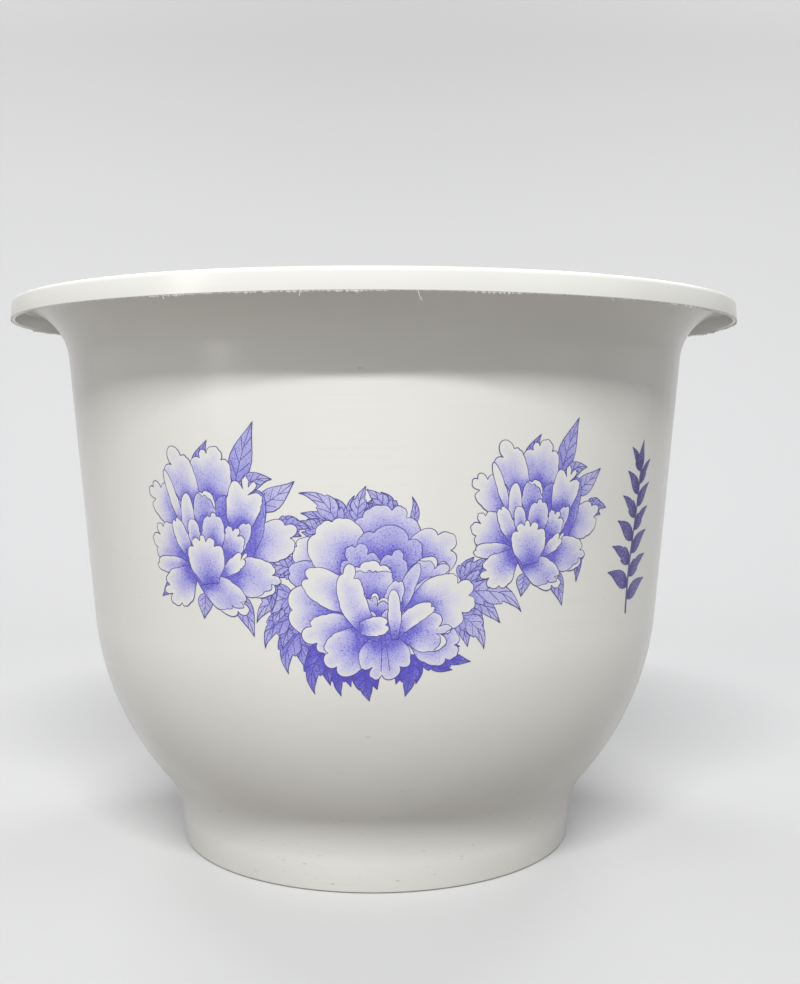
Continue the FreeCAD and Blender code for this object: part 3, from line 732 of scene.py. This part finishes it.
def line_strips(shapes):
    """Both edges of every outline and vein that shows, as pairs of lines."""
    strips = []
    for i, shape in enumerate(shapes):
        front = shapes[i + 1:]
        closed = np.concatenate([shape["edge"], shape["edge"][:1]])
        veins = [(evened(line, False), VEIN_WIDTH) for line in shape["lines"]]
        for run, width in [(closed, LINE_WIDTH)] + veins:
            for part in seen_runs(run, front):
                way = np.gradient(part, axis=0)
                way /= np.maximum(np.hypot(way[:, 0], way[:, 1])[:, None], 1e-9)
                press = width / 2 * (1 + 0.22 * np.sin(np.arange(len(part)) * 0.21 + i))
                side = np.stack([-way[:, 1], way[:, 0]], axis=1) * press[:, None]
                strips.append((part + side, part - side))
    return strips


def printed(name, shapes, azimuth, height, lift, finishes):
    """The film as one thin closed mesh on the wall: the washes, and the lines on top of them."""
    for shape in shapes:
        shape["edge"] = evened(shape["edge"], True)
    points, faces, ink = wash_faces(shapes)
    low, high = points.min(axis=0), points.max(axis=0)
    laid = [(points, FILM_LOW), (points, FILM_LIFT)]
    count = len(points)
    pairs = np.concatenate([faces[:, [0, 1]], faces[:, [1, 2]], faces[:, [2, 0]]]).tolist()
    inner = {(b, a) for a, b in pairs}
    rims = [(a, b) for a, b in pairs if (a, b) not in inner]
    polygons = (faces + count).tolist() + faces[:, ::-1].tolist()
    polygons += [(a, b, b + count, a + count) for a, b in rims]
    bare = len(faces) * 3 + len(rims) * 4
    spots = ((points - low) / (high - low))[faces.ravel()].tolist() + [(0, 0)] * bare
    inks = ink.ravel().tolist() + [0] * bare
    slots = [0] * len(polygons)
    base = count * 2
    for left, right in line_strips(shapes):
        size = len(left)
        laid += [(left, FILM_LOW), (right, FILM_LOW), (right, LINE_LIFT), (left, LINE_LIFT)]
        bands = [(base + size * a, base + size * b) for a, b in ((0, 1), (1, 2), (2, 3), (3, 0))]
        quads = [(a + j, a + j + 1, b + j + 1, b + j) for a, b in bands for j in range(size - 1)]
        quads += [tuple(base + size * k for k in range(4)), tuple(base + size * k + size - 1 for k in (3, 2, 1, 0))]
        polygons += quads
        slots += [1] * len(quads)
        spots += [(0, 0)] * (len(quads) * 4)
        inks += [1] * (len(quads) * 4)
        base += size * 4
    places, ways = zip(*(on_wall(run, azimuth, height, lift + gap) for run, gap in laid))
    mesh = mesh_of(name, np.concatenate(places).tolist(), (), polygons)
    for material in finishes:
        mesh.materials.append(material)
    mesh.polygons.foreach_set("material_index", slots)
    mesh.polygons.foreach_set("use_smooth", [True] * len(polygons))
    mesh.attributes.new("ink", "FLOAT", "CORNER").data.foreach_set("value", inks)
    mesh.uv_layers.new(name="OFBake").data.foreach_set("uv", np.array(spots, float).ravel())
    mesh.normals_split_custom_set_from_vertices(np.concatenate(ways).tolist())
    piece = shown(name, mesh)
    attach(piece, "pot")
    return piece


def wash_colour(tree, deep=INK_DEEP):
    """The ink's stipple: the more ink, the more and the closer its specks, over the white plastic."""
    ink = add(tree, "ShaderNodeAttribute", attribute_name="ink").outputs["Fac"]
    grain = calc(tree, pattern(tree, GRAIN_SIZE), 0.5, "SUBTRACT")
    dots = {"Vector": here(tree), "Scale": 1 / (DOT_SPACING * MM)}
    dots = ranged(tree, add(tree, "ShaderNodeTexVoronoi", dots).outputs["Distance"], 0.18, 0.3, DOT_INK, 0.0)
    spread = calc(tree, calc(tree, grain, 0.8, "MULTIPLY"), dots)
    stippled = calc(tree, ink, calc(tree, spread, ranged(tree, ink, 0.02, 0.4), "MULTIPLY"))
    ramp = add(tree, "ShaderNodeValToRGB", {0: stippled})
    for share, code in ((0.33, INK_PALE), (0.68, INK_MIDDLE)):
        ramp.color_ramp.elements.new(share).color = linear(code)
    ramp.color_ramp.elements[0].color = linear(SHELL_WHITE)
    ramp.color_ramp.elements[-1].color = linear(deep)
    return mixed(tree, ranged(tree, stippled, 0.0, 0.08), shell_colour(tree), ramp)


# Heat-transfer ink under the moulding's own shine: to the eye a soft blue-violet stipple that fades to bare white
wash_ink = moulded_gloss("heat_transfer_ink_stippled", wash_colour)
# The same ink laid solid in the lines: a thin grey violet, plain because each line is finer than any grain in it
line_ink, tree = finish("heat_transfer_ink_line")
surfaced(tree, {"Base Color": linear(INK_LINE), "Roughness": LINE_ROUGH, "IOR": PLASTIC_IOR})


def leaf_cluster(root, turn, length, width, bend, tone, spread=34):
    """A peony leaf of three pointed, toothed lobes on one stalk."""
    lobes = []
    for side in (-1, 1):
        lobes.append(leaf(root, turn + side * spread, length * 0.74, width * 0.8, 1, bend + side * 18, tone))
    return lobes + [leaf(root, turn, length, width, 2, bend, tone + 0.03)]


middle = []
for leaves in (  # root, heading, length, width, bend, tone
    ((-15, 29), 108, 25, 11, -34, 0.34),
    ((-8, 33), 86, 16, 8, 12, 0.34),
    ((6, 36), 124, 15, 9, -10, 0.34),
    ((-22, 28), 150, 13, 8, -10, 0.34),
    ((-35, 12), 160, 14, 9, -20, 0.36),
    ((36, 8), 30, 15, 10, -10, 0.38),
    ((37, 2), 6, 32, 14, 30, 0.33),
    ((35, -7), -30, 22, 11, 26, 0.34),
    ((20, -23), -20, 23, 12, -6, 0.78),
    ((14, -25), -84, 19, 11, 12, 0.86),
    ((-5, -29), -92, 17, 12, -10, 0.88),
    ((-14, -27), -116, 17, 9, -24, 0.84),
    ((-21, -21), -132, 24, 12, -30, 0.78),
    ((-31, -13), -140, 24, 13, -34, 0.54),
    ((-33, -8), -168, 24, 12, -36, 0.46),
    ((-36, 0), 188, 22, 11, -32, 0.38),
):
    middle += leaf_cluster(*leaves)
middle.append(leaf((15, 31), 74, 13, 4, 0, -20, 0.36))
for one in (  # root, heading, length, width, lobes, tone, neck, notch, bend, low, fade; some with tip, veins, fold
    # the outer petals, from the back round to the front
    ((3, 8), 86, 33, 29, 4, 0.72, 0.35, 2.4, 0, 0.16, 0.9),
    ((-12, 9), 150, 27, 17, 2, 0.62, 0.35, 2.4, 6, 0.0, 1.6),
    ((-12, 5), 168, 27, 14, 2, 0.74, 0.35, 2.0, 8, 0.26, 0.9),
    ((12, 4), 56, 31, 23, 3, 0.98, 0.35, 2.2, 8, 0.04, 1.0),
    ((-8, 5), 114, 32, 26, 3, 0.86, 0.35, 2.6, -6, 0.0, 1.15),
    ((4, 5), 84, 27, 28, 3, 0.90, 0.45, 2.6, 0, 0.34, 0.8),
    ((-7, -8), 172, 33, 24, 2, 0.92, 0.3, 2.6, -6, 0.0, 1.0),
    ((-7, -6), 140, 30, 16, 2, 0.84, 0.3, 3.4, -14, 0.0, 1.4),
    ((11, -2), 44, 26, 19, 3, 0.92, 0.35, 2.6, 8, 0.02, 1.1, 0.42, 0, (0.1, 0.5, 2.4)),
    ((11, -4), 30, 20, 10, 2, 0.94, 0.35, 2.0, -14, 0.04, 1.0),
    ((12, -13), -22, 27, 20, 3, 0.66, 0.35, 2.4, 16, 0.12, 1.0),
    ((12, -6), 14, 32, 25, 4, 0.76, 0.3, 3.0, 6, 0.0, 1.4),
    # the lower fan
    ((8, -14), -6, 25, 18, 3, 1.0, 0.3, 3.4, -8, 0.0, 0.9, 0.42, 0, (0.45, 0.9, 2.6)),
    ((-3, -12), 194, 30, 18, 3, 0.98, 0.3, 3.2, 6, 0.0, 1.0),
    ((-2, -14), 224, 26, 20, 3, 1.0, 0.35, 2.6, 8, 0.02, 0.85),
    ((3, -14), 273, 22, 23, 4, 1.0, 0.4, 3.4, 0, 0.06, 0.75, 0.42, 2),
    # the cup, with the curled heart inside it
    ((-4, -4), 98, 28, 18, 4, 0.90, 0.5, 2.2, 0, 0.28, 0.75),
    ((4, -6), 82, 28, 13, 3, 0.92, 0.45, 2.0, 4, 0.28, 0.75),
    ((8, -9), 70, 26, 7, 1, 0.95, 0.4, 1.0, 4, 0.16, 0.9),
    ((-1, -3), 95, 20, 18, 3, 0.78, 0.55, 2.2, 0, 0.0, 1.2, 0.42, 0, (0.15, 0.9, 4.6)),
    ((5, -9), 80, 18, 8, 2, 0.90, 0.4, 1.5, 14, 0.02, 0.9),
    ((-4, -10), 108, 16, 8, 2, 0.92, 0.4, 1.4, -10, 0.02, 0.9),
    ((0, -11), 92, 13, 13, 3, 0.92, 0.5, 1.8, 0, 0.0, 1.0, 0.42, 0, (0.3, 0.95, 2.2)),
    ((4, -15), 74, 11, 8, 2, 0.92, 0.5, 1.0, 0, 0.04, 0.9),
    ((-1, -15), 108, 10, 7, 2, 0.92, 0.5, 1.0, 0, 0.04, 0.9),
    ((8, -17), 64, 23, 8, 2, 0.7, 0.45, 1.4, 56, 0.0, 1.3),
    ((8, -18), 90, 22, 6, 1, 0.9, 0.5, 0.8, -4, 0.0, 0.9),
    ((2, -17), 148, 37, 12, 3, 1.0, 0.45, 2.2, 74, 0.0, 1.0),
    ((-7, -13), 4, 13, 9, 2, 0.8, 0.6, 1.8, -10, 0.0, 1.2),
):
    middle += petal(*one)
middle_print = printed("middle_peony_print", middle, MIDDLE_AZIMUTH, MIDDLE_HEIGHT, 0.0, (wash_ink, line_ink))
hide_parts("print_middle_peony")

# ---- Side peony prints ----
# Two more transfers of the same ink, one each side: a peony seen half from the side, with upright back
# petals, a round cupped petal low in front and one tall leaf. Each laps over the middle print's leaves.
# The right one is printed a little smaller and higher.
SIDE_PRINTS = {"left": (-28.3, 175.0, 1.0), "right": (26.0, 181.5, 0.9)}  # azimuth, height and scale
SIDE_LIFT = 0.1  # clear of the middle print where they lap


def side_peony():
    """A peony seen half from the side: its leaves, its upright back petals, its heart and its lower fan."""
    shapes = []
    for one in (  # root, heading, length, width, teeth, bend, tone
        ((15, 20), 74, 29, 12, 0, 4, 0.5),
        ((-5, 24), 70, 17, 8, 0, 6, 0.50),
        ((18, 19), 32, 15, 9, 0, 20, 0.38),
        ((25, 10), 30, 21, 11, 0, -6, 0.33),
        ((-19, -20), 235, 16, 9, 1, 10, 0.46),
        ((-3, -28), 262, 12, 9, 0, 0, 0.36),
        ((13, -27), -62, 21, 10, 0, 6, 0.36),
        ((29, -18), -80, 17, 7, 0, 8, 0.48),
    ):
        shapes.append(leaf(*one))
    shapes += leaf_cluster((35, 2), 16, 14, 8, 20, 0.38)
    for one in (  # as for the middle peony, from the back round to the front
        ((2, 6), 88, 31, 22, 4, 1.0, 0.4, 2.6, 0, 0.0, 1.0),
        ((-7, 4), 107, 34, 17, 3, 1.0, 0.4, 3.0, -4, 0.0, 1.1),
        ((-11, -2), 130, 30, 16, 4, 0.96, 0.35, 3.2, -8, 0.0, 1.2),
        ((-12, -2), 111, 30, 5, 1, 0.6, 0.35, 0.6, 0, 0.0, 1.2),
        ((16, -9), 16, 29, 18, 3, 0.74, 0.3, 2.8, -6, 0.04, 1.2),
        ((17, -14), 66, 33, 11, 1, 1.0, 0.5, 0.8, -18, 0.56, 0.8),
        ((7, -9), 82, 25, 13, 2, 0.9, 0.5, 1.0, 0, 0.56, 0.8),
        ((15, -2), 76, 27, 17, 4, 0.96, 0.4, 4.2, 4, 0.0, 1.2),
        ((-1, -2), 92, 20, 12, 2, 0.98, 0.45, 1.6, 8, 0.10, 0.9, 0.42, 0, (0.3, 0.95, 2.6)),
        ((-9, -15), 152, 27, 19, 4, 0.92, 0.3, 3.0, 6, 0.0, 1.3),
        ((-9, -17), 176, 23, 8, 2, 0.92, 0.35, 1.8, -6, 0.0, 1.1),
        ((-9, -10), 96, 26, 8, 1, 0.98, 0.4, 0.8, 4, 0.0, 1.0),
        ((-10, -14), 112, 21, 8, 2, 0.86, 0.4, 2.0, -6, 0.0, 1.1),
        ((-6, -10), 100, 15, 7, 1, 0.95, 0.45, 0.8, 4, 0.0, 1.0),
        ((10, -15), 62, 22, 8, 2, 0.96, 0.4, 1.6, 6, 0.06, 0.9),
        ((9, -15), 78, 18, 14, 4, 1.0, 0.45, 3.4, 6, 0.0, 1.05),
        ((3, -12), 92, 20, 12, 3, 1.0, 0.5, 1.8, 6, 0.08, 0.95),
        ((-9, -18), 226, 22, 18, 4, 0.96, 0.3, 2.6, 6, 0.0, 1.2),
        ((6, -20), 2, 29, 18, 3, 1.0, 0.35, 2.8, 8, 0.0, 1.0, 0.42, 0, (0.55, 0.95, 2.4)),
        ((6, -20), 34, 17, 7, 3, 0.6, 0.4, 2.6, -8, 0.0, 1.3),
        ((-7, -19), -38, 31, 15, 3, 1.0, 0.35, 2.4, -14, 0.0, 0.9, 0.42, 0, (0.35, 0.95, 4.4)),
        ((0, -24), 98, 22, 20, 5, 0.90, 0.45, 2.2, 0, 0.0, 1.15, 0.45),
    ):
        shapes += petal(*one)
    return shapes


def scaled(shapes, scale):
    """The same drawing at another size."""
    for shape in shapes:
        for key in ("edge", "rim", "root"):
            if shape.get(key) is not None:
                shape[key] = np.array(shape[key]) * scale
        shape["lines"] = [run * scale for run in shape["lines"]]
    return shapes


for side, (azimuth, height, scale) in SIDE_PRINTS.items():
    shapes = scaled(side_peony(), scale)
    side_print = printed(side + "_peony_print", shapes, azimuth, height, SIDE_LIFT, (wash_ink, line_ink))
    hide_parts("print_%s_peony" % side)

# ---- Sprig print ----
# A last small transfer at the right, ironed on like the others: a plain upright stem with paired leaves,
# in the same ink laid twice, so that it shows darker.
SPRIG_AZIMUTH = 52.0
SPRIG_HEIGHT = 172.0
SPRIG_TONE = 0.86
INK_DARK = "#2e1a74"

# The same ink laid twice: to the eye a solid indigo
dark_ink = moulded_gloss("heat_transfer_ink_laid_twice", wash_colour, INK_DARK)
sprig = []
for i in range(6):
    for side in (-1, 1):
        height = -31 + 11 * i + 3 * side
        root = (1.8 * math.sin(height * 0.06), height)
        sprig.append(leaf(root, 90 + side * (56 - 5 * i), 21 - 1.1 * i, 8.6 - 0.4 * i, i % 2, -side * 12, SPRIG_TONE))
sprig.append(leaf((1.6, 27), 92, 15, 6.4, 0, 8, SPRIG_TONE))
stem = np.array([(1.8 * math.sin(y * 0.06), y) for y in np.linspace(-41, 30, 60)])
half = np.stack([np.linspace(0.6, 0.3, 60), np.zeros(60)], axis=1)
edge = np.concatenate([stem - half, (stem + half)[::-1]])
sprig.append({"edge": edge, "rim": None, "tone": 0.9, "lines": [], "shade": 0.0})
sprig_print = printed("sprig_print", sprig, SPRIG_AZIMUTH, SPRIG_HEIGHT, 0.0, (dark_ink, line_ink))
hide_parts("print_sprig")

# ---- Drain plugs ----
# Four plugs pressed from soft grey rubber, pushed up into the floor's collars from below and pulled down
# by their tabs. Only their grip in the bores holds them.
PLUG_GREY = "#46474a"
PLUG_BLOOM = "#585a5c"


def matt_skin(name, colours, cloud_size, cloud_share, rough, grain, depth):
    """A dull skin: two close colours that cloud into each other, a roughness range, and a grain of some size."""
    material, tree = finish(name)
    colour = mixed(tree, ranged(tree, pattern(tree, cloud_size, 4), *cloud_share), *map(linear, colours))
    bump = {"Height": pattern(tree, *grain), "Strength": 0.35, "Distance": depth * MM}
    dull = ranged(tree, pattern(tree, 4, 3), 0.0, 1.0, *rough)
    links = {"Base Color": colour, "Roughness": dull, "Normal": add(tree, "ShaderNodeBump", bump), "IOR": 1.5}
    surfaced(tree, links)
    return material


def clad(node, material):
    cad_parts[node].data.materials.clear()
    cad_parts[node].data.materials.append(material)


# Moulded rubber: to the eye a dark dull grey with a faint pale bloom and no clear reflection
plug_rubber = matt_skin(
    "grey_rubber_moulded", (PLUG_GREY, PLUG_BLOOM), cloud_size=6, cloud_share=(0.4, 0.75),
    rough=(0.62, 0.78), grain=(0.5, 2), depth=0.2,
)
for i in range(DRAIN_COUNT):
    clad("drain_plug_%d" % (i + 1), plug_rubber)

# ---- Drain grid ----
# A loose false floor that keeps the soil above the water: one matt grey polypropylene moulding with rings
# of slots, two finger holes and eight legs. It only stands on the floor and lifts straight out.
GRID_GREY = "#9a9c9c"
GRID_DARK = "#8b8e90"

# Polypropylene from an etched mould: to the eye an even matt grey with a fine leathery grain
grid_plastic = matt_skin(
    "grey_polypropylene_etched_mould", (GRID_GREY, GRID_DARK), cloud_size=40, cloud_share=(0.35, 0.7),
    rough=(0.45, 0.6), grain=(0.9, 3), depth=0.3,
)
clad("drain_grid", grid_plastic)

# ---- Floor, light and camera ----
# A plain pale sweep, a soft key lamp high in front with weak fills round it, and an even pale sky. The
# camera stands where the photograph's stood. Sizes here are in metres, and lamp powers in watts.
SWEEP_GREY = "#cbccce"
SWEEP_BOUNCE = "#8b8680"  # what the sweep throws back on the pot, darker so that its undersides keep their shade
SWEEP_WIDTH = 14.0
SWEEP_FRONT = -7.0
SWEEP_BACK = 1.5
SWEEP_BEND = 0.9
SWEEP_TOP = 3.5
SWEEP_GAP = 0.0002
SWEEP_FADE = (1.95, 3.0)  # distances from the pot between which the paper melts into the pale sky
SKY_SEEN = "#e6e7e8"
SKY_LIGHT = "#fbfcff"
SKY_STRENGTH = 0.32
LAMPS = {  # place, aim, width, height, power and colour
    "key": ((-0.08, -2.15, 2.42), (0, 0, 0.18), 1.7, 0.14, 91.0, "#fffefb"),
    "left_fill": ((-1.4, -1.05, 0.72), (0, 0, 0.2), 0.28, 1.4, 4.6, "#fffaf4"),
    "right_fill": ((1.7, -0.9, 0.6), (0, 0, 0.15), 1.0, 1.4, 2.0, "#fffdfa"),
    "back_left_fill": ((-0.9, 1.3, 1.6), (0, 0, 0.15), 0.8, 0.8, 13.0, "#ffffff"),
    "back_right_fill": ((0.9, 1.3, 1.6), (0, 0, 0.15), 0.8, 0.8, 13.0, "#ffffff"),
}
CAMERA_PLACE = (0, -0.6596, 0.2209)
CAMERA_DOWN = 3.225  # degrees below level
CAMERA_PAN = -1.138
CAMERA_LENS = 54.0
CAMERA_SENSOR = 36.0


def seen_straight(tree):
    """One for rays from the camera, also by way of a shine or through something clear, and else nothing."""
    rays = add(tree, "ShaderNodeLightPath").outputs
    bent = calc(tree, rays["Is Glossy Ray"], rays["Is Transmission Ray"], "MAXIMUM")
    return calc(tree, rays["Is Camera Ray"], bent, "MAXIMUM")


profile = [(SWEEP_FRONT, 0.0), (SWEEP_BACK - SWEEP_BEND, 0.0)]
for angle in np.linspace(0.05, math.pi / 2, 24):
    out = SWEEP_BACK - SWEEP_BEND + SWEEP_BEND * math.sin(angle)
    profile.append((out, SWEEP_BEND * (1 - math.cos(angle))))
profile.append((SWEEP_BACK, SWEEP_TOP))
places = [(x, y, z - SWEEP_GAP) for y, z in profile for x in (-SWEEP_WIDTH / 2, SWEEP_WIDTH / 2)]
faces = [(2 * i, 2 * i + 1, 2 * i + 3, 2 * i + 2) for i in range(len(profile) - 1)]
sweep_mesh = mesh_of("sweep", places, (), faces)
sweep_mesh.polygons.foreach_set("use_smooth", [True] * len(faces))
paper, tree = finish("pale_background_paper")
tone = mixed(tree, seen_straight(tree), linear(SWEEP_BOUNCE), linear(SWEEP_GREY))
paper_skin = add(tree, "ShaderNodeBsdfPrincipled", {"Base Color": tone, "Roughness": 0.85})
away = add(tree, "ShaderNodeVectorMath", {0: here(tree)}, operation="LENGTH").outputs["Value"]
fade = {"Value": away, 1: SWEEP_FADE[0], 2: SWEEP_FADE[1]}
fade = add(tree, "ShaderNodeMapRange", fade, interpolation_type="SMOOTHSTEP")
clear = add(tree, "ShaderNodeBsdfTransparent")
paper_skin = add(tree, "ShaderNodeMixShader", {0: fade, 1: paper_skin, 2: clear})
add(tree, "ShaderNodeOutputMaterial", {"Surface": paper_skin})
sweep_mesh.materials.append(paper)
shown("sweep", sweep_mesh)

for name, (place, aim, width, height, power, colour) in LAMPS.items():
    light = bpy.data.lights.new(name, "AREA")
    light.shape = "RECTANGLE"
    light.size, light.size_y = width, height
    light.energy = power
    light.color = linear(colour)[:3]
    turn = (Vector(aim) - Vector(place)).to_track_quat("-Z", "Y").to_matrix().to_4x4()
    shown(name, light).matrix_world = Matrix.Translation(place) @ turn

world = bpy.data.worlds.new("pale_sky")
world.use_nodes = True
tree = world.node_tree
tree.nodes.clear()
sky = add(tree, "ShaderNodeBackground", {"Color": linear(SKY_LIGHT), "Strength": SKY_STRENGTH})
plain = add(tree, "ShaderNodeBackground", {"Color": linear(SKY_SEEN), "Strength": 1.0})
both = add(tree, "ShaderNodeMixShader", {0: seen_straight(tree), 1: sky, 2: plain})
add(tree, "ShaderNodeOutputWorld", {"Surface": both})
bpy.context.scene.world = world
bpy.context.scene.view_settings.view_transform = "Standard"

camera_data = bpy.data.cameras.new("camera")
camera_data.lens = CAMERA_LENS
camera_data.sensor_width = CAMERA_SENSOR
camera_data.sensor_fit = "HORIZONTAL"
camera = shown("camera", camera_data)
turn = Matrix.Rotation(math.radians(CAMERA_PAN), 4, "Z") @ Matrix.Rotation(math.radians(90 - CAMERA_DOWN), 4, "X")
camera.matrix_world = Matrix.Translation(CAMERA_PLACE) @ turn
bpy.context.scene.camera = camera
